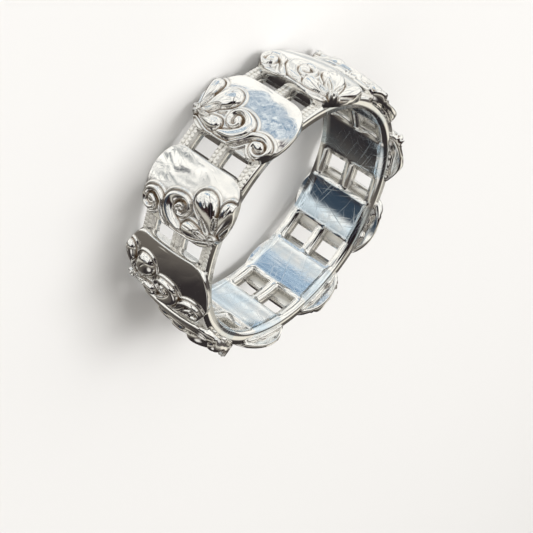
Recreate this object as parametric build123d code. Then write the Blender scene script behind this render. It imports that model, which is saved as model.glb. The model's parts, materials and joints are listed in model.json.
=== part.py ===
"""Band ring in cast silver: a pierced inner band under ten domed plates with raised scrolls and flowers.

The ring lies on its side. +Z is the finger hole's axis, and the origin is the middle of that hole.
A plate is drawn at angle 0, on the +X side, in flat coordinates: across is +Y, which runs round the
ring, and along is +Z, which runs with the finger. Lengths are in millimetres and angles in degrees.
"""
from build123d import *
import math
import os

# Finger hole and inner band
BORE_D = 18.0
BAND_WALL = 0.93
BAND_WIDTH = 5.8
CENTRE_BAR_WIDTH = 0.68
EDGE_BAR_WIDTH = 0.71
WINDOW_LENGTH = 2.37

# Plates
PLATE_COUNT = 10
PLATE_LENGTH = 7.34
PLATE_GAP = 1.12
PLATE_OFFSET = -0.14
PLATE_CREST = 0.67
PLATE_END = 0.26
PLATE_END_RADIUS = 3.4
PLATE_CORNER_RADIUS = 1.45
PLATE_SEAT = 0.05

# Roots of the raised work, as shares of the plate's thickness at its ends: they lie inside the plate
BACKING_ROOT = 0.35
SCROLL_ROOT = 0.50
PETAL_ROOT = 0.65

# Raised work on the plates, as heights over the plate's own surface
SCROLL_HEIGHT = 0.45
PETAL_HEIGHT = 0.55
RIB_DEPTH = 0.14
RIB_WIDTH = 0.16
RIB_CLEARANCE = 0.30
BACKING_HEIGHT = 0.14
BACKING_RIM = 0.16
FIRST_PLATE_ANGLE = -72.0

# Eye of a scroll, as a share of the width of its band
SCROLL_EYE = 0.75

# Scrolls: lengths are shares of half the plate's length (along) or half its width (the rest).
# name, along, across, outer radius, band width, start angle, half turns, turning direction
SCROLLS = [
    ("small", -0.655, 0.58, 0.345, 0.14, 60.0, 3, 1),
    ("large", -0.050, 0.40, 0.480, 0.17, 0.0, 3, -1),
]

# Petals: a drop from its pointed base to its round tip, in the same shares.
# name, base along, base across, tip along, tip across, half width
PETALS = [
    ("middle", 0.76, 0.54, 0.31, -0.40, 0.26),
    ("outer", 0.80, 0.50, 0.86, -0.50, 0.19),
    ("lower", 0.72, 0.70, 0.14, 0.75, 0.20),
]

# Seed balls at the foot of the flower, in the same shares: along, across, radius
BALLS = [
    (0.80, 0.64, 0.12),
    (0.71, 0.58, 0.09),
]

bore_radius = BORE_D / 2
band_radius = bore_radius + BAND_WALL
window_width = (BAND_WIDTH - CENTRE_BAR_WIDTH - 2 * EDGE_BAR_WIDTH) / 2
window_middle = (CENTRE_BAR_WIDTH + window_width) / 2
plate_pitch = 360 / PLATE_COUNT
plate_width = 2 * math.pi * band_radius / PLATE_COUNT - PLATE_GAP
half_length = PLATE_LENGTH / 2
half_width = plate_width / 2
dome_drop = PLATE_CREST - PLATE_END
dome_arc = (half_length**2 + dome_drop**2) / (2 * dome_drop)
plate_turn = math.degrees(PLATE_OFFSET / band_radius)
relief_top = band_radius + PLATE_CREST + PETAL_HEIGHT

# The drawing plane of the plate at angle 0: its x runs round the ring, its y along the finger
FLAT = Plane(origin=(0, 0, 0), x_dir=(0, 1, 0), z_dir=(1, 0, 0))


def dome_surface(along):
    """Radius of the plates' domed surface at a height along the ring."""
    return band_radius + PLATE_CREST - dome_arc + math.sqrt(dome_arc**2 - along**2)


def dome(height, root):
    """Solid of revolution from a root over the band up to the domed surface, raised by height."""
    reach = half_length + PLATE_CREST
    crest = dome_surface(0) + height
    end = dome_surface(reach) + height
    seat = band_radius + root
    outer = ThreePointArc((-end, 0, -reach), (-crest, 0, 0), (-end, 0, reach))
    sides = Polyline((-end, 0, reach), (-seat, 0, reach), (-seat, 0, -reach), (-end, 0, -reach))
    return revolve(make_face([outer, *sides.edges()]), Axis.Z)


def prism(sketch):
    """The flat drawing pushed outward through the plate and everything raised on it."""
    return extrude(FLAT.offset(bore_radius) * sketch, relief_top)


def place(along, across):
    """A point of the tables, given in shares of the plate, in the flat drawing."""
    return Vector(across * half_width, along * half_length)


def plate_outline():
    """Straight long edges, bowed ends and round corners."""
    corner = half_length - PLATE_END_RADIUS + math.sqrt(PLATE_END_RADIUS**2 - half_width**2)
    outline = make_face([
        ThreePointArc((-half_width, corner), (0, half_length), (half_width, corner)),
        Line((half_width, corner), (half_width, -corner)),
        ThreePointArc((half_width, -corner), (0, -half_length), (-half_width, -corner)),
        Line((-half_width, -corner), (-half_width, corner)),
    ])
    return fillet(outline.vertices(), PLATE_CORNER_RADIUS)


def scroll_line(centre, radius, start, half_turns, turning):
    """Middle line of a scroll: half circles that tighten towards the eye."""
    step = radius / (half_turns + 1)
    arcs = []
    angle = start
    for _ in range(half_turns):
        arcs.append(CenterArc(centre, radius, angle, turning * 180))
        angle += turning * 180
        centre = centre + Vector(step, 0).rotate(Axis.Z, angle)
        radius -= step
    return arcs, centre


def scroll_shape(row):
    """Flat drawing of one scroll of the table, with a round eye at its middle."""
    _, along, across, radius, width, start, half_turns, turning = row
    band = width * half_width
    line_radius = radius * half_width - band / 2
    arcs, eye = scroll_line(place(along, across), line_radius, start, half_turns, turning)
    shape = Pos(eye.X, eye.Y) * Circle(band * SCROLL_EYE)
    for arc in arcs:
        shape += trace(arc, band)
    return shape


def pointed_oval(base, tip, half):
    """Pointed oval between two points."""
    middle = (base + tip) / 2
    side = (tip - base).normalized().rotate(Axis.Z, 90) * half
    return make_face([
        ThreePointArc(base, middle + side, tip),
        ThreePointArc(tip, middle - side, base),
    ])


def drop(base, tip, half):
    """Drop with a pointed base and a round tip, whose straight sides meet the round in a tangent."""
    middle = tip + (base - tip).normalized() * half
    spoke = (base - middle).normalized() * half
    turn = math.degrees(math.acos(half / (base - middle).length))
    left = middle + spoke.rotate(Axis.Z, turn)
    right = middle + spoke.rotate(Axis.Z, -turn)
    return make_face([Line(base, left), ThreePointArc(left, tip, right), Line(right, base)])


def petal_ends(row):
    """Base and tip of one petal of the table."""
    _, base_along, base_across, tip_along, tip_across, _ = row
    return place(base_along, base_across), place(tip_along, tip_across)


def petal_shape(row, rim=0.0):
    """Flat drawing of one petal of the table, made wider by a rim."""
    base, tip = petal_ends(row)
    stretch = (tip - base).normalized() * rim
    return drop(base - stretch, tip + stretch, row[5] * half_width + rim)


def rib_shape(row):
    """Flat drawing of a petal's rib, which stops short of both ends of the petal."""
    base, tip = petal_ends(row)
    inset = (tip - base).normalized() * RIB_CLEARANCE
    return pointed_oval(base + inset, tip - inset, RIB_WIDTH / 2)


def backing():
    """Low rim of metal that follows the outline of the scrolls and the flower."""
    shapes = []
    for row in SCROLLS:
        disc = Circle(row[3] * half_width + BACKING_RIM)
        spot = place(row[1], row[2])
        shapes.append(Pos(spot.X, spot.Y) * disc)
    for row in PETALS:
        shapes.append(petal_shape(row, BACKING_RIM))
    return prism((Sketch() + shapes) & plate_outline()) & dome(BACKING_HEIGHT, BACKING_ROOT * PLATE_END)


def flower():
    """Three petals with a sunk rib each, and the seed balls at their foot."""
    shapes = Sketch() + [petal_shape(row) for row in PETALS]
    petals = prism(shapes & plate_outline()) & dome(PETAL_HEIGHT, PETAL_ROOT * PLATE_END)
    ribs = Part() + [prism(rib_shape(row)) for row in PETALS]
    petals -= ribs - dome(PETAL_HEIGHT - RIB_DEPTH, -PLATE_SEAT)
    for along, across, radius in BALLS:
        spot = place(along, across)
        lift = dome_surface(spot.Y) + SCROLL_HEIGHT
        petals += Pos(lift, spot.X, spot.Y) * Sphere(radius * half_width)
    return petals


def decorated_plate(side):
    """One plate with its raised work. side -1 turns the flower to the ring's far edge."""
    plate = prism(plate_outline()) & dome(0, -PLATE_SEAT)
    shapes = Sketch() + [scroll_shape(row) for row in SCROLLS]
    scrolls = prism(shapes & plate_outline()) & dome(SCROLL_HEIGHT, SCROLL_ROOT * PLATE_END)
    relief = backing() + scrolls + flower()
    if side < 0:
        relief = mirror(relief, Plane.XY)
    return plate + relief


def pierced_band():
    """Smooth inner band with two windows in each gap, which leave three bars."""
    gap_turn = Rot(0, 0, FIRST_PLATE_ANGLE + plate_pitch / 2)
    ring = gap_turn * (Cylinder(band_radius, BAND_WIDTH) - Cylinder(bore_radius, BAND_WIDTH))
    reach = 2 * band_radius
    cutters = []
    for index in range(PLATE_COUNT):
        turn = Rot(0, 0, FIRST_PLATE_ANGLE + (index + 0.5) * plate_pitch)
        for side in (-1, 1):
            spot = Pos(reach / 2, 0, side * window_middle)
            cutters.append(turn * spot * Box(reach, WINDOW_LENGTH, window_width))
    return ring - cutters


def band_ring():
    """The whole ring, soldered into one solid."""
    kinds = [decorated_plate(1), decorated_plate(-1)]
    plates = []
    for index in range(PLATE_COUNT):
        turn = FIRST_PLATE_ANGLE + index * plate_pitch + plate_turn
        plates.append(Rot(0, 0, turn) * kinds[index % 2])
    return pierced_band() + plates


ring = band_ring()
print("solids", len(ring.solids()), "volume", round(ring.volume, 2), "valid", ring.is_valid)
os.makedirs("parts", exist_ok=True)
export_step(ring, "parts/band_ring.step")
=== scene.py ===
"""Looks of a cast silver band ring with ten domed plates, built over its packed CAD frame.

The file is laid out as a Blender add-on and run as a script. Every length is in metres in the
frame of the CAD, with +Z along the finger hole. A plate is drawn flat first: along runs with the
finger, across runs round the ring, and the drawing is then laid over the plate's dome.
"""
import json
import math

import bmesh
import bpy
import numpy as np
from bpy.props import FloatProperty, FloatVectorProperty, IntProperty, PointerProperty
from mathutils import Matrix, Vector


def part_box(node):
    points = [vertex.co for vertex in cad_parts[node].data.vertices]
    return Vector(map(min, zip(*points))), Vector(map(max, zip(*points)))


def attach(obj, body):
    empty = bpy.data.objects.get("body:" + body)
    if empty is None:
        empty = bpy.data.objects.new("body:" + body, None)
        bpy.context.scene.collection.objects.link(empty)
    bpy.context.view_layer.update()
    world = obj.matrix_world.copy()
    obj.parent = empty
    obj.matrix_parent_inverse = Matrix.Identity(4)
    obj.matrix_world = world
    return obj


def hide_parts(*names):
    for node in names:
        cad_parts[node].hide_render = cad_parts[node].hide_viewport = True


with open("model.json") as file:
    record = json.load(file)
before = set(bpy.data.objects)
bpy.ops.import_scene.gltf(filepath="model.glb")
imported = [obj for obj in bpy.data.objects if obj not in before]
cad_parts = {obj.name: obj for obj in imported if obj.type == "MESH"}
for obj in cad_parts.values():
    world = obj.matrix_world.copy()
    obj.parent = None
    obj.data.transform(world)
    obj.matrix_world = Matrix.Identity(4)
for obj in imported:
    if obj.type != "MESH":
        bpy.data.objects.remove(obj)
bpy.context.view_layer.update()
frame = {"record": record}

bl_info = {
    "name": "Band ring with scroll plates",
    "version": (1, 0, 0),
    "blender": (4, 5, 0),
    "location": "3D View > Sidebar > Band ring",
    "description": "Builds a pierced silver band ring with ten scroll and flower plates",
    "category": "Object",
}

MM = 0.001
NODE = "band_ring"
finger_hole = frame["record"]["mounts"][0]["dims"]
silver_colour = frame["record"]["materials"][0]["base_color"]
ring_low, ring_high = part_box(NODE)

# The tables below are drawn in millimetres on a plate of this length and width.
DRAWN_LENGTH = 7.34
DRAWN_WIDTH = 5.12

# Scrolls: along, across and half width of the band, from its outer end to the last turn
LARGE_SCROLL = [
    (0.84, 2.24, 0.10),
    (0.34, 2.10, 0.28),
    (-0.34, 1.84, 0.42),
    (-0.88, 1.24, 0.47),
    (-0.90, 0.66, 0.44),
    (-0.52, 0.30, 0.32),
    (0.04, 0.16, 0.23),
    (0.48, 0.36, 0.19),
    (0.64, 0.82, 0.17),
    (0.42, 1.26, 0.15),
    (0.02, 1.34, 0.16),
    (-0.22, 1.06, 0.23),
    (-0.04, 0.80, 0.32),
]
SMALL_SCROLL = [
    (-0.52, 2.44, 0.13),
    (-0.94, 2.06, 0.23),
    (-1.32, 1.52, 0.27),
    (-1.75, 1.08, 0.28),
    (-2.30, 0.86, 0.27),
    (-2.86, 1.02, 0.25),
    (-3.10, 1.48, 0.22),
    (-2.92, 1.98, 0.20),
    (-2.48, 2.14, 0.19),
    (-2.08, 1.92, 0.19),
    (-2.10, 1.60, 0.25),
    (-2.44, 1.53, 0.39),
]

# Round seed cup at the foot of the flower: along, across, radius, height
SEED_CUP = (3.04, 1.58, 0.34, 0.62)

# Petals: base along, base across, tip along, tip across, half width, fullness, height
PETALS = [
    (2.80, 1.82, 0.62, 1.80, 0.54, 0.76, 0.54),
    (3.06, 1.40, 3.26, -1.24, 0.50, 0.78, 0.56),
    (2.86, 1.46, 1.08, -1.00, 0.84, 0.72, 0.59),
]

# Hollow leaves between the petals, in the same columns but for the fullness
SEPALS = [
    (2.72, 1.56, 1.66, 0.62, 0.22, 0.54),
    (2.94, 1.34, 2.72, 0.12, 0.17, 0.54),
    (2.72, 1.72, 1.72, 1.66, 0.17, 0.60),
]

# Steps of a scroll's curve from one row of its table to the next
CURVE_STEPS = 14

# Cells of the band's mesh round the ring, in a gap and under a plate
CELLS_IN_GAP = 8
CELLS_UNDER_PLATE = 12

# Cells across the band that are windows in a gap, counted from the lower rim
WINDOW_CELLS = (1, 3)

# Angle between two faces from which the band's edge is made soft
SHARP_EDGE = math.radians(50)

# A bead's outline from its foot up: share of its height, and share of its width there
BEAD_RINGS = ((0.0, 0.94), (0.5, 1.0), (0.84, 0.88), (0.97, 0.66))
BEAD_SIDES = 8

# Share of its place in the row that a bead fills
BEAD_FILL = 0.94

# Cells of a solder seam along it and round it, and how far it reaches under a plate's half width
SEAM_STEPS = 48
SEAM_SIDES = 10
SEAM_REACH = 0.80

# How far the bars and the windows' walls are rough as cast, from 0 to 1
BAR_ROUGHNESS = 0.5

# Thickness of the lip round a plate's top
LIP = 0.05 * MM

# Soft change from polished to cast silver under a plate
CAST_FADE = 0.3 * MM

# Cells to each side over which a plate's height is averaged, to find its hollows
BLUR_CELLS = 9

# Distances that are further than any on a plate, and too small to see
FAR = 1.0
TINY = 1e-6

# Turns of the four sets of scratches, in radians
SCRATCH_TURNS = (0.35, 1.15, 2.0, 2.75)

# Places of the two soft lights over the ring, and the size of both
KEY_PLACE = (-0.22, 0.06, 0.42)
FILL_PLACE = (0.16, -0.40, 0.26)
LIGHT_SIZE = (0.36, 0.30)


def length_property(name, description, default, **more):
    """A length in metres with the settings that all of the ring's lengths share."""
    return FloatProperty(
        name=name, description=description, default=default, min=0.0, precision=5,
        unit="LENGTH", subtype="DISTANCE", **more
    )


def place_property(name, description, default):
    """A place in metres."""
    return FloatVectorProperty(
        name=name, description=description, default=default, subtype="TRANSLATION", precision=5
    )


def angle_property(name, description, degrees):
    """An angle."""
    return FloatProperty(
        name=name, description=description, default=math.radians(degrees), subtype="ANGLE"
    )


def colour_property(name, description, default):
    """A colour of the silver or of the stage."""
    return FloatVectorProperty(
        name=name, description=description, default=default, subtype="COLOR", min=0.0, max=1.0
    )


class BandSizes(bpy.types.PropertyGroup):
    """Pierced inner band and the rows of beads on its bars."""

    bore_radius: length_property("Hole radius", "Radius of the finger hole", finger_hole["r_mm"] * MM)
    wall: length_property("Wall", "Thickness of the band", 0.93 * MM)
    width: length_property("Width", "Width of the band along the finger", finger_hole["length_mm"] * MM)
    centre_bar: length_property("Middle bar", "Width of the middle bar", 0.68 * MM)
    edge_bar: length_property("Edge bar", "Width of each edge bar", 0.71 * MM)
    window_length: length_property("Window", "Length of a window round the ring", 2.37 * MM)
    edge_round: length_property("Soft edge", "Rounding of the band's edges", 0.06 * MM)
    bead_pitch: length_property("Bead pitch", "Distance from bead to bead", 0.32 * MM)
    bead_height: length_property("Bead height", "Height of a bead over the bar", 0.08 * MM)
    bead_sink: length_property("Bead seat", "Depth to which a bead is soldered in", 0.03 * MM)
    seam: length_property("Solder", "Thickness of the solder seams", 0.24 * MM)
    beads_in_row: IntProperty(
        name="Beads in a row", description="Beads of one row in one gap", default=6, min=1
    )


class PlateSizes(bpy.types.PropertyGroup):
    """Domed plates round the band."""

    count: IntProperty(name="Plates", description="Number of plates round the ring", default=10, min=3)
    first_angle: angle_property("First plate", "Angle of the first plate", -72.0)
    length: length_property(
        "Length", "Length of a plate along the finger", 2 * min(ring_high.z, -ring_low.z)
    )
    gap: length_property("Gap", "Gap between plates at the band", 1.12 * MM)
    offset: FloatProperty(
        name="Offset", description="Shift of the plates round the band", default=-0.14 * MM,
        precision=5, unit="LENGTH", subtype="DISTANCE"
    )
    crest: length_property("Crest", "Height of a plate's middle over the band", 0.67 * MM)
    end: length_property("End", "Height of a plate's ends over the band", 0.26 * MM)
    end_radius: length_property("End radius", "Radius of the bowed ends", 3.4 * MM)
    corner_radius: length_property("Corner radius", "Radius of the round corners", 1.45 * MM)
    seat: length_property("Seat", "Depth to which a plate is soldered in", 0.05 * MM)
    border: length_property("Border", "Width of the round border of a plate", 0.34 * MM)
    border_fall: length_property("Border fall", "Height by which the border falls to its edge", 0.20 * MM)
    edge_round: length_property("Edge", "Rounding of the raised work at the very edge", 0.05 * MM)
    waviness: length_property("Waviness", "Unevenness left by hand finishing", 0.009 * MM)
    rows: IntProperty(name="Rows", description="Mesh rows along a plate", default=216, min=24)
    columns: IntProperty(
        name="Columns", description="Mesh columns across a plate, a multiple of 8", default=152, min=8
    )


class ReliefSizes(bpy.types.PropertyGroup):
    """Raised scrolls and flower on each plate."""

    scroll_height: length_property("Scrolls", "Height of the scrolls over the plate", 0.50 * MM)
    backing_height: length_property("Backing", "Height of the low rim behind the motif", 0.14 * MM)
    backing_rim: length_property("Backing rim", "Width of that rim", 0.27 * MM)
    backing_edge: length_property("Backing edge", "Width of the rim's soft edge", 0.09 * MM)
    chase_depth: length_property("Chased line", "Depth of the line chased round the motif", 0.10 * MM)
    chase_width: length_property("Chased width", "Width of that line", 0.08 * MM)
    parting: length_property("Parting", "Width of the cut between forms that lie on each other", 0.10 * MM)
    slit_depth: length_property("Slits", "Depth of the slit in each petal", 0.06 * MM)
    slit_width: length_property("Slit width", "Half width of that slit", 0.04 * MM)
    scroll_lean: FloatProperty(
        name="Lean", description="Share by which a scroll's outer side stands higher",
        default=0.22, min=0.0, max=0.5
    )


class SilverFinish(bpy.types.PropertyGroup):
    """Polish of the silver."""

    colour: colour_property("Silver", "Colour of clean silver", silver_colour)
    # Tarnish with painted shade: a brown mixed into the plates' hollows, stronger the deeper they are
    tarnish_and_shade: colour_property("Tarnish", "Colour of silver deep in the recesses", (0.24, 0.165, 0.10))
    # Painted reflection: a blue tint mixed in clouds into the worn inside of the band
    painted_reflection: colour_property("Bloom", "Colour of the bluish bloom on the worn inside", (0.68, 0.78, 0.86))
    cast: colour_property("Cast metal", "Colour of metal left rough as cast", (0.93, 0.90, 0.83))
    polish: FloatProperty(
        name="Roughness", description="Roughness of the polish", default=0.07, min=0.0, max=1.0
    )
    dent_depth: length_property("Dents", "Depth of the fine unevenness", 0.0030 * MM)
    scratch_depth: length_property("Scratches", "Depth of the fine scratches", 0.0010 * MM)


class StudioSettings(bpy.types.PropertyGroup):
    """Floor, soft light and camera."""

    floor_colour: colour_property("Floor", "Colour of the floor", (0.74, 0.73, 0.72))
    floor_size: length_property("Floor size", "Side of the floor", 1.6)
    camera_place: place_property("Camera", "Place of the camera", (4.988 * MM, -93.062 * MM, 48.511 * MM))
    camera_aim: place_property(
        "Aim", "Point that the camera looks at", (3.833 * MM, 1.068 * MM, 2.069 * MM)
    )
    camera_roll: angle_property("Roll", "Turn of the camera about its line of sight", 124.835)
    lens: FloatProperty(
        name="Lens", description="Focal length for a 36 mm frame", default=100.713, unit="CAMERA"
    )
    tent_light: FloatProperty(name="Tent", description="Brightness of the light tent", default=1.0, min=0.0)
    key_light: FloatProperty(
        name="Key light", description="Power of the soft light overhead", default=2.0, min=0.0
    )
    fill_light: FloatProperty(
        name="Fill light", description="Power of the soft light in front", default=1.1, min=0.0
    )


SETTINGS = {
    "ring_band": BandSizes,
    "ring_plates": PlateSizes,
    "ring_relief": ReliefSizes,
    "ring_silver": SilverFinish,
    "ring_studio": StudioSettings,
}


def band_radius(scene):
    """Outer radius of the pierced band."""
    return scene.ring_band.bore_radius + scene.ring_band.wall


def plate_half_sizes(scene):
    """Half length and half width of a plate."""
    plates = scene.ring_plates
    width = 2 * math.pi * band_radius(scene) / plates.count - plates.gap
    return plates.length / 2, width / 2


def plate_turn(scene, number):
    """Angle of a plate by its number, counted from 0. A gap is half a number further."""
    plates = scene.ring_plates
    return plates.first_angle + number * math.tau / plates.count + plates.offset / band_radius(scene)


def smooth_step(values):
    """Zero below 0, one above 1 and a soft change between."""
    part = np.clip(values, 0.0, 1.0)
    return part * part * (3 - 2 * part)


def bent_line(points, steps):
    """Curve through the points of a table, with its further columns carried along."""
    table = np.array(points, float)
    ends = np.vstack([2 * table[0] - table[1], table, 2 * table[-1] - table[-2]])
    line = []
    for before, start, stop, after in zip(ends, ends[1:], ends[2:], ends[3:]):
        for part in np.linspace(0, 1, steps, endpoint=False):
            line.append(0.5 * (
                2 * start + (stop - before) * part
                + (2 * before - 5 * start + 4 * stop - after) * part**2
                + (3 * start - before - 3 * stop + after) * part**3
            ))
    line.append(table[-1])
    return np.array(line)


class FlatPlate:
    """Flat drawing of one plate: its outline, its dome and the heights of its raised work."""

    def __init__(self, scene):
        self.plates = scene.ring_plates
        self.relief = scene.ring_relief
        self.half_length, self.half_width = plate_half_sizes(scene)
        self.base_radius = band_radius(scene)
        self.bow = self.half_length - self.plates.end_radius
        inner = self.plates.end_radius - self.plates.corner_radius
        self.corner_across = self.half_width - self.plates.corner_radius
        self.corner_along = self.bow + math.sqrt(inner**2 - self.corner_across**2)
        drop = self.plates.crest - self.plates.end
        self.dome_arc = (self.half_length**2 + drop**2) / (2 * drop)
        self.scale = np.array([self.half_length * 2 / DRAWN_LENGTH, self.half_width * 2 / DRAWN_WIDTH]) / MM

    def dome(self, along):
        """Radius of the domed surface."""
        top = self.base_radius + self.plates.crest
        return top - self.dome_arc + np.sqrt(self.dome_arc**2 - along**2)

    def reach(self, along):
        """Half width of the outline at a place along the plate."""
        along = np.abs(along)
        plates = self.plates
        turn = math.atan2(self.corner_across, self.corner_along - self.bow)
        end_starts = self.bow + plates.end_radius * math.cos(turn)
        corner = self.corner_across + np.sqrt(
            np.maximum(plates.corner_radius**2 - (along - self.corner_along)**2, 0)
        )
        end = np.sqrt(np.maximum(plates.end_radius**2 - (along - self.bow)**2, 0))
        side = np.where(along > self.corner_along, corner, self.half_width)
        return np.where(along > end_starts, end, side)

    def depth_inside(self, along, across):
        """Distance from the outline, positive inside it."""
        along, across = np.abs(along), np.abs(across)
        plates = self.plates
        to_end = plates.end_radius - np.hypot(along - self.bow, across)
        to_corner = plates.corner_radius - np.hypot(along - self.corner_along, across - self.corner_across)
        to_side = self.half_width - across
        lean = (along - self.bow) * self.corner_across - across * (self.corner_along - self.bow)
        near_end = (along > self.bow) & (lean > 0)
        near_side = along < self.corner_along
        return np.where(near_end, to_end, np.where(near_side, to_side, to_corner))

    def place(self, along, across):
        """A point of the tables on this plate."""
        return along * MM * self.scale[0], across * MM * self.scale[1]

    def rounded(self, inside, width, fall):
        """Fall of a quarter round of that width towards the outline."""
        edge = np.clip(1 - inside / width, 0, 1)
        return -fall * (1 - np.sqrt(np.clip(1 - edge**2, 0, 1)))

    def scroll(self, points, along, across):
        """Heights of one scroll, and the distance from its edge."""
        line = bent_line(points, CURVE_STEPS) * [self.scale[0] * MM, self.scale[1] * MM, self.scale[1] * MM]
        first, eye = line[1] - line[0], line[-1] - line[0]
        inner = math.copysign(1, first[0] * eye[1] - first[1] * eye[0])
        height = np.zeros_like(along)
        away = np.full_like(along, FAR)
        for start, stop in zip(line, line[1:]):
            run = stop[:2] - start[:2]
            length = math.hypot(*run)
            part = ((along - start[0]) * run[0] + (across - start[1]) * run[1]) / length**2
            part = np.clip(part, 0, 1)
            gap = np.hypot(along - start[0] - part * run[0], across - start[1] - part * run[1])
            half = start[2] + part * (stop[2] - start[2])
            side = ((across - start[1]) * run[0] - (along - start[0]) * run[1]) / length
            lean = 1 - self.relief.scroll_lean * (1 + np.clip(inner * side / half, -1, 1))
            flatness = 2.2 + 5.0 * np.maximum(half / MM - 0.20, 0)
            top = np.minimum(self.relief.scroll_height, 2.1 * half) * lean
            height = np.maximum(height, top * (1 - np.clip(gap / half, 0, 1)**flatness)**0.7)
            away = np.minimum(away, gap - half)
        return height, away

    def seed_cup(self, row, along, across):
        """Heights of the cup and its seed at the flower's foot, and the distance from its edge."""
        middle_along, middle_across = self.place(row[0], row[1])
        gap = np.hypot(along - middle_along, across - middle_across)
        radius = row[2] * MM
        share = gap / radius
        ball = np.sqrt(np.clip(1 - (share / 0.56)**2, 0, 1))
        rim = 0.86 * np.sqrt(np.clip(1 - ((share - 0.80) / 0.20)**2, 0, 1))
        height = row[3] * MM * np.maximum(np.maximum(ball, rim), 0.50 * (share < 0.8))
        return height, gap - radius

    def leaf(self, row, along, across):
        """Share of a leaf's length, distance from its middle line, and the length itself."""
        base = np.array(self.place(row[0], row[1]))
        tip = np.array(self.place(row[2], row[3]))
        length = np.linalg.norm(tip - base)
        run = (tip - base) / length
        share = ((along - base[0]) * run[0] + (across - base[1]) * run[1]) / length
        sideways = (across - base[1]) * run[0] - (along - base[0]) * run[1]
        return share, sideways, length

    def between(self, share, start, stop, steepness):
        """One between two shares of a length, with a soft change to zero at both."""
        return smooth_step((share - start) * steepness) * smooth_step((stop - share) * steepness)

    def petal(self, row, along, across):
        """Heights of one petal, narrow at its base, and the distance from its edge."""
        share, sideways, length = self.leaf(row, along, across)
        fullness = row[5]
        widest = row[4] * MM
        held = np.clip(share / fullness, 1e-3, 1)
        half = widest * np.sin(held**1.2 * math.pi / 2)
        beyond = np.maximum((share - fullness) / (1 - fullness), 0)
        rim = np.hypot(sideways / half, beyond)
        rise = 1 - 0.80 * (1 - held)**1.5
        inside = (share > 0) & (rim < 1)
        height = row[6] * MM * rise * (1 - np.clip(rim, 0, 1)**2.8)**0.55
        slit = np.exp(-((sideways - 0.12 * half) / self.relief.slit_width)**2)
        slit = slit * self.between(share, 0.60, 0.92, 12)
        height = height - self.relief.slit_depth * slit
        away = np.where(beyond > 0, (rim - 1) * widest, np.abs(sideways) - half)
        away = np.hypot(np.maximum(away, 0), np.maximum(-share, 0) * length)
        return np.where(inside, height, 0.0), np.where(inside, -TINY, away + TINY)

    def sepal(self, row, along, across):
        """Heights of one hollow leaf with a thin rim, and the distance from its edge."""
        share, sideways, length = self.leaf(row, along, across)
        half = row[4] * MM * 2 * np.sqrt(np.clip(share * (1 - share), 0, 1))
        half = np.maximum(half, TINY)
        beside = np.clip(np.abs(sideways) / half, 0, 1)
        body = 1 - beside**3
        hollow = 0.75 * np.clip(1 - (beside / 0.62)**2, 0, 1) * self.between(share, 0, 1, 4)
        inside = (share > 0) & (share < 1) & (beside < 1)
        out_length = np.maximum(np.maximum(-share, share - 1), 0) * length
        away = np.hypot(np.maximum(np.abs(sideways) - half, 0), out_length) + TINY
        away = np.where(inside, -TINY, away)
        return np.where(inside, row[5] * MM * (body - hollow), 0.0), away

    def heights(self, along, across):
        """Height of the finished surface over the dome."""
        plates, relief = self.plates, self.relief
        inside = self.depth_inside(along, across)
        surface = self.rounded(inside, plates.border, plates.border_fall)
        # Two slow waves, and a faster one of half their height
        wave = np.sin(along * 1700 + 1.3) * np.sin(across * 2300 + 0.4)
        wave = wave + 0.5 * np.sin(along * 3600 - across * 2900)
        surface = surface + plates.waviness * wave
        raised = np.zeros_like(along)
        away = np.full_like(along, FAR)
        forms = [self.scroll(SMALL_SCROLL, along, across), self.scroll(LARGE_SCROLL, along, across)]
        forms += [self.petal(row, along, across) for row in PETALS]
        forms += [self.sepal(row, along, across) for row in SEPALS]
        forms.append(self.seed_cup(SEED_CUP, along, across))
        for height, gap in forms:
            clear = smooth_step(gap / relief.parting)
            raised = np.where(gap < 0, height, raised * (0.35 + 0.65 * clear))
            away = np.minimum(away, gap)
        rim = smooth_step((relief.backing_rim - away) / relief.backing_edge)
        backing = surface + (relief.backing_height - surface) * rim
        line = np.exp(-(np.maximum(away, 0) / relief.chase_width)**2) * (away > 0)
        backing = backing - relief.chase_depth * line
        top = np.maximum(backing, raised)
        return top + self.rounded(inside, plates.edge_round, plates.edge_round)


def grid_faces(grid):
    """Quads of a grid of vertices, given by their numbers."""
    return np.stack([grid[:-1, :-1], grid[1:, :-1], grid[1:, 1:], grid[:-1, 1:]], -1).reshape(-1, 4)


def soft_blur(values, reach):
    """Average over a square of that many cells to each side."""
    for axis in (0, 1):
        padded = np.concatenate([
            np.repeat(values.take([0], axis), reach + 1, axis),
            values,
            np.repeat(values.take([-1], axis), reach, axis),
        ], axis)
        total = np.cumsum(padded, axis)
        size = values.shape[axis]
        width = 2 * reach + 1
        values = (total.take(range(width, width + size), axis) - total.take(range(size), axis)) / width
    return values


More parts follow.
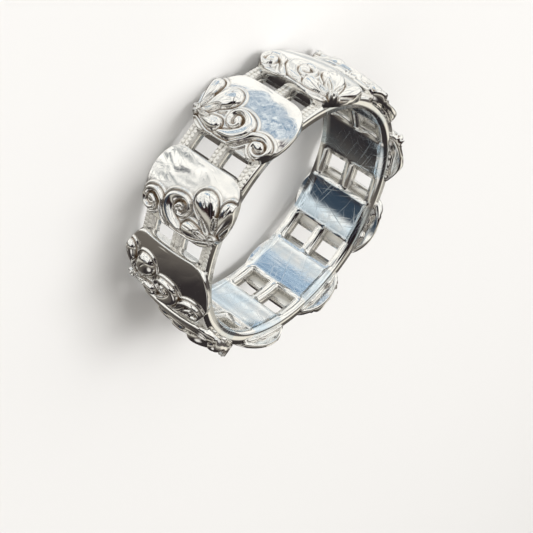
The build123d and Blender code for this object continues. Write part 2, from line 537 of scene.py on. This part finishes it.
class PlateMesh:
    """Closed mesh of one plate in flat form, shared by all of the plates."""

    def __init__(self, scene):
        flat = FlatPlate(scene)
        plates = scene.ring_plates
        rows, columns = plates.rows - 1, plates.columns + 1
        even = np.linspace(-1, 1, plates.rows + 1)
        line = flat.half_length * (0.7 * even + 0.3 * np.sin(even * math.pi / 2))
        ends, inner = line[[0, -1]], line[1:-1]
        along = np.repeat(inner[:, None], columns, 1)
        across = flat.reach(inner)[:, None] * np.linspace(-1, 1, columns)[None, :]
        height = flat.heights(along, across)
        radius = flat.dome(along) + height
        tips = np.stack([ends, [0, 0], flat.dome(ends) + flat.heights(ends, np.zeros(2))], -1)
        sides = [0, columns - 1]
        few = slice(None, None, plates.columns // 8)
        under = np.full_like(along, flat.base_radius - plates.seat)
        # Top, its two tips, lips of the long sides, lips of the tips, underside, its tips
        parts = [
            self.listed(along, across, radius),
            tips,
            self.listed(along[:, sides], across[:, sides], radius[:, sides] - LIP),
            tips - [0, 0, LIP],
            self.listed(along[:, few], across[:, few], under[:, few]),
            np.stack([ends, [0, 0], under[:2, 0]], -1),
        ]
        self.points = np.concatenate(parts)
        numbers = np.split(np.arange(len(self.points)), np.cumsum([len(part) for part in parts])[:-1])
        self.add_faces(rows, *numbers)
        self.hollow, self.cast = np.zeros((2, len(self.points)))
        top, bed = numbers[0], numbers[4]
        # How far the top lies below its blurred height: its hollows, which get tarnish and painted shade
        hollow = (soft_blur(height, BLUR_CELLS) - height) / scene.ring_relief.scroll_height
        self.hollow[top] = np.clip(hollow, 0, 1).reshape(-1)
        bed_along, bed_across, _ = self.points[bed].T
        covered = smooth_step((scene.ring_band.width / 2 - np.abs(bed_along)) / CAST_FADE)
        inboard = smooth_step((flat.depth_inside(bed_along, bed_across) - 0.1 * MM) / CAST_FADE)
        self.cast[bed] = covered * inboard

    def listed(self, along, across, radius):
        """Points of a grid in a list, one row each."""
        return np.stack([along, across, radius], -1).reshape(-1, 3)

    def add_faces(self, rows, top, top_tips, lip, lip_tips, bed, bed_tips):
        """Faces of the top, of the underside and of the walls between them, from the points' numbers."""
        top, lip, bed = (numbers.reshape(rows, -1) for numbers in (top, lip, bed))
        self.quads = [grid_faces(top), grid_faces(bed)[:, ::-1]]
        self.triangles = []
        for side in (0, -1):
            self.wall(top[:, side], lip[:, side], side == 0)
            self.wall(lip[:, side], bed[:, side], side == 0)
        for end in (0, -1):
            lines = (top[end], lip[end], bed[end])
            self.end_fans(*lines, top_tips[end], lip_tips[end], bed_tips[end], end == 0)

    def wall(self, upper, lower, left):
        """Quads between two lines of vertices that run along a plate."""
        quads = np.stack([upper[:-1], lower[:-1], lower[1:], upper[1:]], -1)
        self.quads.append(quads if left else quads[:, ::-1])

    def end_fans(self, top, lip, bed, top_tip, lip_tip, bed_tip, first):
        """Faces at one end, where the rows close on a single point."""
        faces = [[top[n + 1], top_tip, top[n]] for n in range(len(top) - 1)]
        faces += [[bed[n], bed_tip, bed[n + 1]] for n in range(len(bed) - 1)]
        walls = [
            [top[0], top_tip, lip_tip, lip[0]],
            [lip[0], lip_tip, bed_tip, bed[0]],
            [top_tip, top[-1], lip[1], lip_tip],
            [lip_tip, lip[1], bed[-1], bed_tip],
        ]
        if not first:
            faces = [face[::-1] for face in faces]
            walls = [face[::-1] for face in walls]
        self.triangles += faces
        self.quads.append(np.array(walls))

    def bent(self, angle, side):
        """Vertices and faces of a plate at an angle of the ring. side -1 turns it over."""
        along, across, radius = self.points.T
        out = np.sqrt(radius**2 - across**2)
        cos, sin = math.cos(angle), math.sin(angle)
        places = np.stack([out * cos - across * sin, out * sin + across * cos, side * along], -1)
        faces = np.concatenate(self.quads).tolist() + np.array(self.triangles).tolist()
        return places, faces if side < 0 else [face[::-1] for face in faces]


def add_object(name, places, faces):
    """New object with a mesh of those vertices and faces."""
    mesh = bpy.data.meshes.new(name)
    mesh.from_pydata(np.asarray(places).tolist(), [], faces)
    mesh.shade_smooth()
    piece = bpy.data.objects.new(name, mesh)
    bpy.context.scene.collection.objects.link(piece)
    return piece


def finish_piece(piece, scene, **paints):
    """Silver, riding on the ring and standing for its CAD node. A paint is one number for each vertex."""
    for name, values in paints.items():
        layer = piece.data.attributes.new(name, "FLOAT", "POINT")
        layer.data.foreach_set("value", np.asarray(values, np.float32))
    piece.data.materials.append(polished_silver(scene))
    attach(piece, "root")
    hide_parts(NODE)


def add_node(tree, kind, inputs, **settings):
    """New shader node with its settings. Each input is a value or the output of another node."""
    node = tree.nodes.new(kind)
    for key, value in settings.items():
        setattr(node, key, value)
    for key, value in inputs.items():
        if isinstance(value, bpy.types.NodeSocket):
            tree.links.new(value, node.inputs[key])
        else:
            node.inputs[key].default_value = value
    return node.outputs


def noise(tree, place, scale, detail, roughness, **settings):
    """Cloudy noise at a place, from 0 to 1."""
    inputs = {"Vector": place, "Scale": scale, "Detail": detail, "Roughness": roughness}
    return add_node(tree, "ShaderNodeTexNoise", inputs, **settings)["Fac"]


def ranged(tree, value, start, stop, low=0.0, high=1.0, curve="LINEAR"):
    """Value that goes from low to high while another goes from start to stop."""
    inputs = {"Value": value, "From Min": start, "From Max": stop, "To Min": low, "To Max": high}
    return add_node(tree, "ShaderNodeMapRange", inputs, interpolation_type=curve)["Result"]


def maths(tree, operation, *values):
    """Result of an operation, such as the product of two values."""
    return add_node(tree, "ShaderNodeMath", dict(enumerate(values)), operation=operation)["Value"]


def blend(tree, share, below, above):
    """Mix of two colours, each given as three numbers or as the output of another node."""
    inputs = {"Factor": share}
    for name, colour in (("A", below), ("B", above)):
        inputs[name] = colour if isinstance(colour, bpy.types.NodeSocket) else (*colour, 1.0)
    return add_node(tree, "ShaderNodeMix", inputs, data_type="RGBA")["Result"]


def mapped(tree, place, **sizes):
    """Place in axes of its own, with that Location, Rotation and Scale."""
    return add_node(tree, "ShaderNodeMapping", {"Vector": place, **sizes}, vector_type="TEXTURE")["Vector"]


def relief_of(tree, height, depth, below, cut):
    """Surface raised by a height of that depth, or cut in by it, over the relief below if there is any."""
    inputs = {"Strength": 1.0, "Height": height, "Distance": depth}
    if below:
        inputs["Normal"] = below
    return add_node(tree, "ShaderNodeBump", inputs, invert=cut)["Normal"]


def unrolled(tree, spot, radius):
    """Places on the ring rolled out flat, so that a scratch lies in the surface all round it."""
    turn = add_node(tree, "ShaderNodeTexGradient", {"Vector": spot}, gradient_type="RADIAL")["Fac"]
    way_round = maths(tree, "MULTIPLY", turn, math.tau * radius)
    height = add_node(tree, "ShaderNodeSeparateXYZ", {"Vector": spot})["Z"]
    return add_node(tree, "ShaderNodeCombineXYZ", {"X": way_round, "Y": height})["Vector"]


def scratches(tree, flat):
    """Thin straight scratches in four directions, 1 where the metal is cut."""
    marks = None
    for turn in SCRATCH_TURNS:
        place = mapped(tree, flat, Location=(0.01 * turn, 0, 0), Rotation=(0, 0, turn), Scale=(30, 1, 1))
        lines = noise(tree, place, 7000.0, 1.0, 0.5, noise_dimensions="2D")
        mark = ranged(tree, lines, 0.66, 0.80)
        marks = maths(tree, "MAXIMUM", marks, mark) if marks else mark
    return marks


def polished_silver(scene):
    """Silver whose meshes say where it is hollow, with tarnish and painted shade, rough as cast, or worn by
    the finger with a painted blue reflection.
    """
    found = bpy.data.materials.get("polished_silver")
    if found:
        return found
    finish = scene.ring_silver
    material = bpy.data.materials.new("polished_silver")
    material.use_nodes = True
    tree = material.node_tree
    shader = tree.nodes["Principled BSDF"]
    spot = add_node(tree, "ShaderNodeTexCoord", {})["Object"]
    hollow, cast, worn_and_blue_reflection = (
        add_node(tree, "ShaderNodeAttribute", {}, attribute_name=name)["Fac"]
        for name in ("hollow", "cast", "worn_and_blue_reflection")
    )
    cloud = noise(tree, spot, 420.0, 4.0, 0.6)
    # Colour: clean silver, a painted blue reflection where worn, tarnish and painted shade in the recesses,
    # pale where cast
    painted_reflection = maths(tree, "MULTIPLY", ranged(tree, cloud, 0.30, 0.60), worn_and_blue_reflection)
    # Tarnish and painted shade, stronger the deeper a hollow lies below its surroundings
    recess_tarnish_and_shade = ranged(tree, hollow, 0.05, 0.32)
    colour = finish.colour
    for share, tone in ((painted_reflection, finish.painted_reflection), (recess_tarnish_and_shade, finish.tarnish_and_shade), (cast, finish.cast)):
        colour = blend(tree, share, colour, tone)
    tree.links.new(colour, shader.inputs["Base Color"])
    tree.links.new(ranged(tree, cast, 0.0, 1.0, 1.0, 0.35), shader.inputs["Metallic"])
    # Relief: fine dents, then scratches
    dents = noise(tree, spot, 3800.0, 3.0, 0.6)
    dent_depth = ranged(tree, worn_and_blue_reflection, 0.0, 1.0, finish.dent_depth, 0.3 * finish.dent_depth)
    surface = relief_of(tree, dents, dent_depth, None, False)
    scratched = scratches(tree, unrolled(tree, spot, band_radius(scene)))
    scratch_depth = ranged(tree, worn_and_blue_reflection, 0.0, 1.0, finish.scratch_depth, 1.5 * finish.scratch_depth)
    surface = relief_of(tree, scratched, scratch_depth, surface, True)
    tree.links.new(surface, shader.inputs["Normal"])
    # Gloss: cloudy, duller in scratches, where worn and in the recesses, and dull where cast
    dull = ranged(tree, cloud, 0.3, 0.7, 0.7 * finish.polish, 1.6 * finish.polish)
    worn_scratch = maths(tree, "MULTIPLY", scratched, worn_and_blue_reflection)
    duller = ((recess_tarnish_and_shade, 0.22), (cast, 0.45), (worn_and_blue_reflection, 0.01), (scratched, 0.06), (worn_scratch, 0.18))
    for share, amount in duller:
        dull = maths(tree, "MULTIPLY_ADD", share, amount, dull)
    tree.links.new(dull, shader.inputs["Roughness"])
    return material


class RING_OT_band(bpy.types.Operator):
    """Pierced inner band with twenty windows and three bars in each gap"""

    bl_idname = "ring.band"
    bl_label = "Pierced band"

    def execute(self, context):
        scene = context.scene
        shape = bmesh.new()
        self.add_walls(shape, scene)
        sharp = [edge for edge in shape.edges if edge.calc_face_angle(0) > SHARP_EDGE]
        bmesh.ops.bevel(
            shape, geom=sharp, offset=scene.ring_band.edge_round, offset_type="OFFSET",
            segments=3, profile=0.5, affect="EDGES"
        )
        bmesh.ops.recalc_face_normals(shape, faces=shape.faces)
        piece = add_object("pierced_band", [], [])
        shape.to_mesh(piece.data)
        shape.free()
        piece.data.shade_smooth()
        finish_piece(piece, scene, **self.wear(piece.data, scene))
        return {"FINISHED"}

    def levels(self, band):
        """Heights of the rims and of the windows' edges, from the lowest up."""
        window = (band.width - band.centre_bar - 2 * band.edge_bar) / 2
        levels = [0, band.edge_bar, band.edge_bar + window]
        levels += [band.width - level for level in reversed(levels)]
        return [level - band.width / 2 for level in levels]

    def columns(self, scene, radii):
        """Angle of each column of cells at both radii, and whether it is in a gap between plates."""
        band, plates = scene.ring_band, scene.ring_plates
        pitch = math.tau / plates.count
        edge = [math.asin(band.window_length / 2 / radius) for radius in radii]
        columns = []
        for index in range(plates.count):
            gap = plates.first_angle + (index + 0.5) * pitch
            for part in np.linspace(-1, 1, CELLS_IN_GAP, endpoint=False):
                columns.append(([gap + part * turn for turn in edge], True))
            for part in np.linspace(0, 1, CELLS_UNDER_PLATE, endpoint=False):
                columns.append(([gap + turn + part * (pitch - 2 * turn) for turn in edge], False))
        return columns

    def add_walls(self, shape, scene):
        """Walls of the band, of its rims and of its windows."""
        levels = self.levels(scene.ring_band)
        radii = (scene.ring_band.bore_radius, band_radius(scene))
        columns = self.columns(scene, radii)
        corners = []
        for turns, _ in columns:
            corners.append([[
                shape.verts.new((radius * math.cos(turn), radius * math.sin(turn), level))
                for level in levels
            ] for radius, turn in zip(radii, turns)])
        cells = len(levels) - 1
        solid = [[not (gap and level in WINDOW_CELLS) for level in range(cells)] for _, gap in columns]
        for index, (here, after) in enumerate(zip(corners, corners[1:] + corners[:1])):
            for level in range(cells):
                if not solid[index][level]:
                    continue
                up = level + 1
                shape.faces.new((here[1][level], after[1][level], after[1][up], here[1][up]))
                shape.faces.new((here[0][level], here[0][up], after[0][up], after[0][level]))
                if level == 0 or not solid[index][level - 1]:
                    shape.faces.new((here[1][level], here[0][level], after[0][level], after[1][level]))
                if up == cells or not solid[index][up]:
                    shape.faces.new((here[1][up], after[1][up], after[0][up], here[0][up]))
                if not solid[index - 1][level]:
                    shape.faces.new((here[1][level], here[1][up], here[0][up], here[0][level]))
                if not solid[(index + 1) % len(columns)][level]:
                    shape.faces.new((after[1][level], after[0][level], after[0][up], after[1][up]))

    def wear(self, mesh, scene):
        """The finger wears the silver between the windows, where a blue reflection is painted too. The
        windows' walls stay rough as cast.
        """
        band, plates = scene.ring_band, scene.ring_plates
        pitch = math.tau / plates.count
        plain = band.bore_radius * pitch / 2 - band.window_length / 2 - band.edge_round
        worn_and_blue_reflection, cast = [], []
        for vertex in mesh.vertices:
            turn = math.atan2(vertex.co.y, vertex.co.x) - plates.first_angle
            off_plate = abs((turn / pitch + 0.5) % 1 - 0.5) * pitch * band.bore_radius
            depth = vertex.co.xy.length - band.bore_radius
            off_rim = band.width / 2 - abs(vertex.co.z)
            worn_and_blue_reflection.append(off_plate < plain and depth < 0.1 * band.edge_round)
            rough = depth > 0.9 * band.edge_round and off_rim > 0.5 * band.edge_round
            cast.append(BAR_ROUGHNESS * rough)
        return {"worn_and_blue_reflection": worn_and_blue_reflection, "cast": cast}


class RING_OT_beads(bpy.types.Operator):
    """Two rows of small square beads on each bar of each gap"""

    bl_idname = "ring.beads"
    bl_label = "Bead rows"

    def execute(self, context):
        scene = context.scene
        band, plates = scene.ring_band, scene.ring_plates
        outer = band_radius(scene)
        edge_level = band.width / 2 - band.edge_bar / 2
        bars = ((-edge_level, band.edge_bar), (0.0, band.centre_bar), (edge_level, band.edge_bar))
        places, faces = [], []
        for index in range(plates.count):
            gap = plate_turn(scene, index + 0.5)
            for middle, bar in bars:
                for row in (-1, 1):
                    for number in range(band.beads_in_row):
                        turn = gap + (number - (band.beads_in_row - 1) / 2) * band.bead_pitch / outer
                        self.add_bead(places, faces, scene, turn, middle + row * bar / 4, bar)
        finish_piece(add_object("bead_rows", places, faces), scene, cast=[BAR_ROUGHNESS] * len(places))
        return {"FINISHED"}

    def add_bead(self, places, faces, scene, turn, level, bar):
        """One bead at an angle and a level, on a bar of that width."""
        band = scene.ring_band
        outer = band_radius(scene)
        bottom, top = outer - band.bead_sink, outer + band.bead_height
        start = len(places)
        for lift, share in BEAD_RINGS:
            radius = bottom + lift * (band.bead_height + band.bead_sink)
            for corner in range(BEAD_SIDES):
                way = (corner + 0.5) * math.tau / BEAD_SIDES
                bulge = share / (abs(math.cos(way))**4 + abs(math.sin(way))**4)**0.25
                swing = turn + BEAD_FILL / 2 * band.bead_pitch * bulge * math.cos(way) / outer
                rise = level + BEAD_FILL / 4 * bar * bulge * math.sin(way)
                places.append((radius * math.cos(swing), radius * math.sin(swing), rise))
        for radius in (top, bottom):
            places.append((radius * math.cos(turn), radius * math.sin(turn), level))
        last = start + (len(BEAD_RINGS) - 1) * BEAD_SIDES
        crown = last + BEAD_SIDES
        for corner in range(BEAD_SIDES):
            after = (corner + 1) % BEAD_SIDES
            for low in range(start, last, BEAD_SIDES):
                high = low + BEAD_SIDES
                faces.append([low + corner, low + after, high + after, high + corner])
            faces.append([last + corner, last + after, crown])
            faces.append([start + after, start + corner, crown + 1])


class RING_OT_plates(bpy.types.Operator):
    """Ten domed plates with their scrolls and flowers"""

    bl_idname = "ring.plates"
    bl_label = "Scroll plates"

    def execute(self, context):
        scene = context.scene
        shape = PlateMesh(scene)
        for index in range(scene.ring_plates.count):
            places, faces = shape.bent(plate_turn(scene, index), 1 if index % 2 == 0 else -1)
            piece = add_object(f"scroll_plate_{index + 1:02d}", places, faces)
            finish_piece(piece, scene, hollow=shape.hollow, cast=shape.cast)
        return {"FINISHED"}


class RING_OT_seams(bpy.types.Operator):
    """Uneven seams of solder between the band's rims and the undersides of the plates"""

    bl_idname = "ring.seams"
    bl_label = "Solder seams"

    def execute(self, context):
        scene = context.scene
        places, faces = [], []
        for index in range(scene.ring_plates.count):
            for end in (-1, 1):
                self.add_seam(places, faces, scene, index, end)
        finish_piece(add_object("solder_seams", places, faces), scene)
        return {"FINISHED"}

    def add_seam(self, places, faces, scene, index, end):
        """Lumpy round seam under one end of a plate, which thins out to both sides."""
        band = scene.ring_band
        outer = band_radius(scene)
        middle = plate_turn(scene, index)
        half_turn = SEAM_REACH * plate_half_sizes(scene)[1] / outer
        start = len(places)
        for share in np.linspace(-1, 1, SEAM_STEPS + 1):
            turn = middle + share * half_turn
            lumps = 0.62 + 0.24 * math.sin(7 * share + 2.1 * index + end)
            lumps += 0.14 * math.sin(13 * share - 1.3 * index)
            thick = band.seam * lumps * math.sqrt(1 - 0.98 * share**4)
            for corner in range(SEAM_SIDES):
                way = corner * math.tau / SEAM_SIDES
                radius = outer - scene.ring_plates.seat + thick * math.cos(way) - 0.5 * band.seam
                level = end * (band.width / 2 + thick * math.sin(way))
                places.append((radius * math.cos(turn), radius * math.sin(turn), level))
        last = start + SEAM_STEPS * SEAM_SIDES
        tube = []
        for low in range(start, last, SEAM_SIDES):
            for corner in range(SEAM_SIDES):
                after = (corner + 1) % SEAM_SIDES
                high = low + SEAM_SIDES
                tube.append([low + corner, low + after, high + after, high + corner])
        tube.append(list(range(start + SEAM_SIDES - 1, start - 1, -1)))
        tube.append(list(range(last, last + SEAM_SIDES)))
        faces.extend(tube if end < 0 else [face[::-1] for face in tube])


class RING_OT_stage(bpy.types.Operator):
    """Pale floor, soft studio light and the camera"""

    bl_idname = "ring.stage"
    bl_label = "Stage"

    def execute(self, context):
        scene = context.scene
        studio = scene.ring_studio
        self.add_floor(studio)
        self.add_camera(scene, studio)
        self.add_tent(scene, studio)
        self.add_soft_light(scene, "key_light", studio.key_light, KEY_PLACE)
        self.add_soft_light(scene, "fill_light", studio.fill_light, FILL_PLACE)
        scene.view_settings.view_transform = "Standard"
        return {"FINISHED"}

    def add_floor(self, studio):
        """Large plain floor under the plates."""
        half = studio.floor_size / 2
        level = ring_low.z
        corners = [(-half, -half, level), (half, -half, level), (half, half, level), (-half, half, level)]
        floor = add_object("floor", corners, [[0, 1, 2, 3]])
        material = bpy.data.materials.new("pale_floor")
        material.use_nodes = True
        shader = material.node_tree.nodes["Principled BSDF"]
        shader.inputs["Base Color"].default_value = (*studio.floor_colour, 1.0)
        shader.inputs["Roughness"].default_value = 0.85
        floor.data.materials.append(material)
        floor.visible_glossy = False

    def camera_axes(self, studio):
        """Right, up and back of the camera."""
        back = (Vector(studio.camera_place) - Vector(studio.camera_aim)).normalized()
        right = Vector((0, 0, 1)).cross(back).normalized()
        up = back.cross(right)
        cos, sin = math.cos(studio.camera_roll), math.sin(studio.camera_roll)
        return right * cos + up * sin, up * cos - right * sin, back

    def add_camera(self, scene, studio):
        """Camera at the photograph's angle to the ring."""
        data = bpy.data.cameras.new("camera")
        data.lens = studio.lens
        data.sensor_width = 36.0
        data.clip_start = 0.01
        camera = bpy.data.objects.new("camera", data)
        scene.collection.objects.link(camera)
        turn = Matrix(self.camera_axes(studio)).transposed().to_4x4()
        camera.matrix_world = Matrix.Translation(Vector(studio.camera_place)) @ turn
        scene.camera = camera

    def add_tent(self, scene, studio):
        """Light tent all round: pale cloth, with darker parts that the metal mirrors."""
        world = bpy.data.worlds.new("light_tent")
        scene.world = world
        world.use_nodes = True
        tree = world.node_tree
        tree.nodes.clear()
        way = add_node(tree, "ShaderNodeTexCoord", {})["Generated"]
        axes = self.camera_axes(studio)
        colour = self.cloth_and_ground(tree, way, *axes)
        for patch in self.patches(tree, way, *axes):
            colour = self.patch(tree, way, colour, *patch)
        colour = blend(tree, self.opening_slit(tree, way, axes[0], axes[2]), colour, (0.10, 0.08, 0.10))
        inputs = {"Color": colour, "Strength": studio.tent_light}
        light = add_node(tree, "ShaderNodeBackground", inputs)["Background"]
        add_node(tree, "ShaderNodeOutputWorld", {"Surface": light})

    def cloth_and_ground(self, tree, way, right, up, back):
        """White folds above, and dark ground below with a pale band across it."""
        # The tent's own upright leans a little from the camera's
        height = self.part(tree, way, (up * 0.935 + back * 0.355 + right * 0.15).normalized())
        behind = self.part(tree, way, back)
        hanging = add_node(tree, "ShaderNodeMapping", {"Vector": way, "Scale": (5.0, 5.0, 1.6)})["Vector"]
        cloud = noise(tree, hanging, 1.0, 3.0, 0.55)
        white = blend(tree, self.ramp(tree, cloud, 0.36, 0.58), (0.64, 0.66, 0.66), (1.14, 1.12, 1.06))
        edge = blend(tree, self.ramp(tree, behind, -0.2, 0.3), (0.10, 0.09, 0.085), (0.034, 0.020, 0.020))
        ground = (0.034, 0.029, 0.030)
        for start, stop, above in (
            (-0.80, -0.50, (0.15, 0.135, 0.118)), (-0.49, -0.38, (0.56, 0.54, 0.48)), (-0.30, -0.20, edge)
        ):
            ground = blend(tree, self.ramp(tree, height, start, stop), ground, above)
        uneven = maths(tree, "MULTIPLY_ADD", cloud, -0.22, height)
        return blend(tree, self.ramp(tree, uneven, -0.11, -0.05), ground, white)

    def patches(self, tree, way, right, up, back):
        """Oval patches of the tent: middle, axis of their length, radii, softness and colour."""
        flecks = noise(tree, way, 28.0, 3.0, 0.7)
        daylight = blend(tree, self.ramp(tree, flecks, 0.48, 0.54), (0.19, 0.30, 0.44), (0.94, 1.00, 1.02))
        slant = back * 0.81 + right * 0.59
        fold_middle = up * 0.34 - right * 0.90 + back * 0.22
        hem = right * 0.27 - up * 0.35 + back * 0.89
        hanging = self.local(tree, way, fold_middle, hem, (0.24, 0.062, 0.20), (0, 0, 0))
        streaks = noise(tree, hanging, 1.0, 3.0, 0.5)
        folds = blend(tree, self.ramp(tree, streaks, 0.36, 0.54), (0.27, 0.29, 0.30), (1.16, 1.15, 1.10))
        return (
            # Pale cloth low down in front
            (back * 0.15 - up * 0.95 - right * 0.28, back, (0.50, 0.46), 0.6, (0.80, 0.78, 0.74)),
            # Blue daylight overhead, seen through thin cloth
            (up * 0.94 - right * 0.18 + back * 0.29, slant, (0.44, 0.245), 0.12, daylight),
            # Grey folds beside the ring, and a gap between two cloths
            (fold_middle, back, (0.56, 0.30), 0.4, folds),
            (up * 0.30 - right * 0.87 + back * 0.39, back, (0.14, 0.042), 0.6, (0.04, 0.05, 0.07)),
            # Deep blue shade, which the worn inside mirrors
            (back * 0.48 - right * 0.87 - up * 0.06, up, (0.21, 0.22), 0.5, (0.045, 0.066, 0.092)),
            # Warm pale cloth, which the rims and the edges of the windows mirror
            (right * 0.66 - up * 0.42 - back * 0.62, right, (0.42, 0.30), 0.5, (0.90, 0.86, 0.76)),
            # Dark round opening of the tent
            (back * 0.95 - up * 0.25, right, (0.46, 0.34), 0.12, (0.012, 0.010, 0.010)),
        )

    def opening_slit(self, tree, way, right, back):
        """Narrow slit over the tent's opening, 1 inside it."""
        aside = maths(tree, "ABSOLUTE", self.part(tree, way, right))
        high = self.ramp(tree, self.part(tree, way, back), 0.60, 0.68)
        return maths(tree, "MULTIPLY", self.ramp(tree, aside, 0.065, 0.035), high)

    def part(self, tree, way, axis):
        """Share of a direction that goes along an axis."""
        inputs = {0: way, 1: tuple(axis)}
        return add_node(tree, "ShaderNodeVectorMath", inputs, operation="DOT_PRODUCT")["Value"]

    def ramp(self, tree, value, start, stop):
        """Soft change from 0 to 1 while a value goes from start to stop."""
        return ranged(tree, value, start, stop, curve="SMOOTHSTEP")

    def patch(self, tree, way, below, middle, length_axis, radii, softness, colour):
        """Oval patch of another colour on the tent, with its length along an axis."""
        local = self.local(tree, way, middle, length_axis, (*radii, 1.0), middle.normalized())
        size = add_node(tree, "ShaderNodeVectorMath", {0: local}, operation="LENGTH")["Value"]
        return blend(tree, self.ramp(tree, size, 1.0, 1 - softness), below, colour)

    def local(self, tree, way, middle, length_axis, sizes, origin):
        """Directions in units of their own along an axis, across it and outward."""
        out = middle.normalized()
        long = (length_axis - out * length_axis.dot(out)).normalized()
        turn = Matrix((long, out.cross(long), out)).transposed().to_euler()
        return mapped(tree, way, Location=tuple(origin), Rotation=tuple(turn), Scale=sizes)

    def add_soft_light(self, scene, name, power, place):
        """Large soft light that points at the ring and isn't mirrored by it."""
        data = bpy.data.lights.new(name, "AREA")
        data.shape = "RECTANGLE"
        data.size, data.size_y = LIGHT_SIZE
        data.energy = power
        lamp = bpy.data.objects.new(name, data)
        lamp.visible_glossy = False
        scene.collection.objects.link(lamp)
        lamp.location = place
        lamp.rotation_euler = (-Vector(place)).to_track_quat("-Z", "Y").to_euler()


class RING_PT_sidebar(bpy.types.Panel):
    """Pieces and sizes of the band ring."""

    bl_label = "Band ring"
    bl_idname = "RING_PT_sidebar"
    bl_space_type = "VIEW_3D"
    bl_region_type = "UI"
    bl_category = "Band ring"

    def draw(self, context):
        layout = self.layout
        for maker in OPERATORS:
            layout.operator(maker.bl_idname)
        for name, group in SETTINGS.items():
            box = layout.box()
            box.label(text=group.__doc__)
            for key in group.__annotations__:
                box.prop(getattr(context.scene, name), key)


OPERATORS = (RING_OT_band, RING_OT_beads, RING_OT_plates, RING_OT_seams, RING_OT_stage)


def register():
    """Adds the settings, the operators and the panel to Blender."""
    for group in SETTINGS.values():
        bpy.utils.register_class(group)
    for name, group in SETTINGS.items():
        setattr(bpy.types.Scene, name, PointerProperty(type=group))
    for part in (*OPERATORS, RING_PT_sidebar):
        bpy.utils.register_class(part)


def unregister():
    """Takes them away again."""
    for part in reversed((*OPERATORS, RING_PT_sidebar)):
        bpy.utils.unregister_class(part)
    for name, group in SETTINGS.items():
        delattr(bpy.types.Scene, name)
        bpy.utils.unregister_class(group)


def main():
    """Builds the ring and its stage."""
    register()
    bpy.ops.ring.band()
    bpy.ops.ring.beads()
    bpy.ops.ring.plates()
    bpy.ops.ring.seams()
    bpy.ops.ring.stage()


if __name__ == "__main__":
    main()
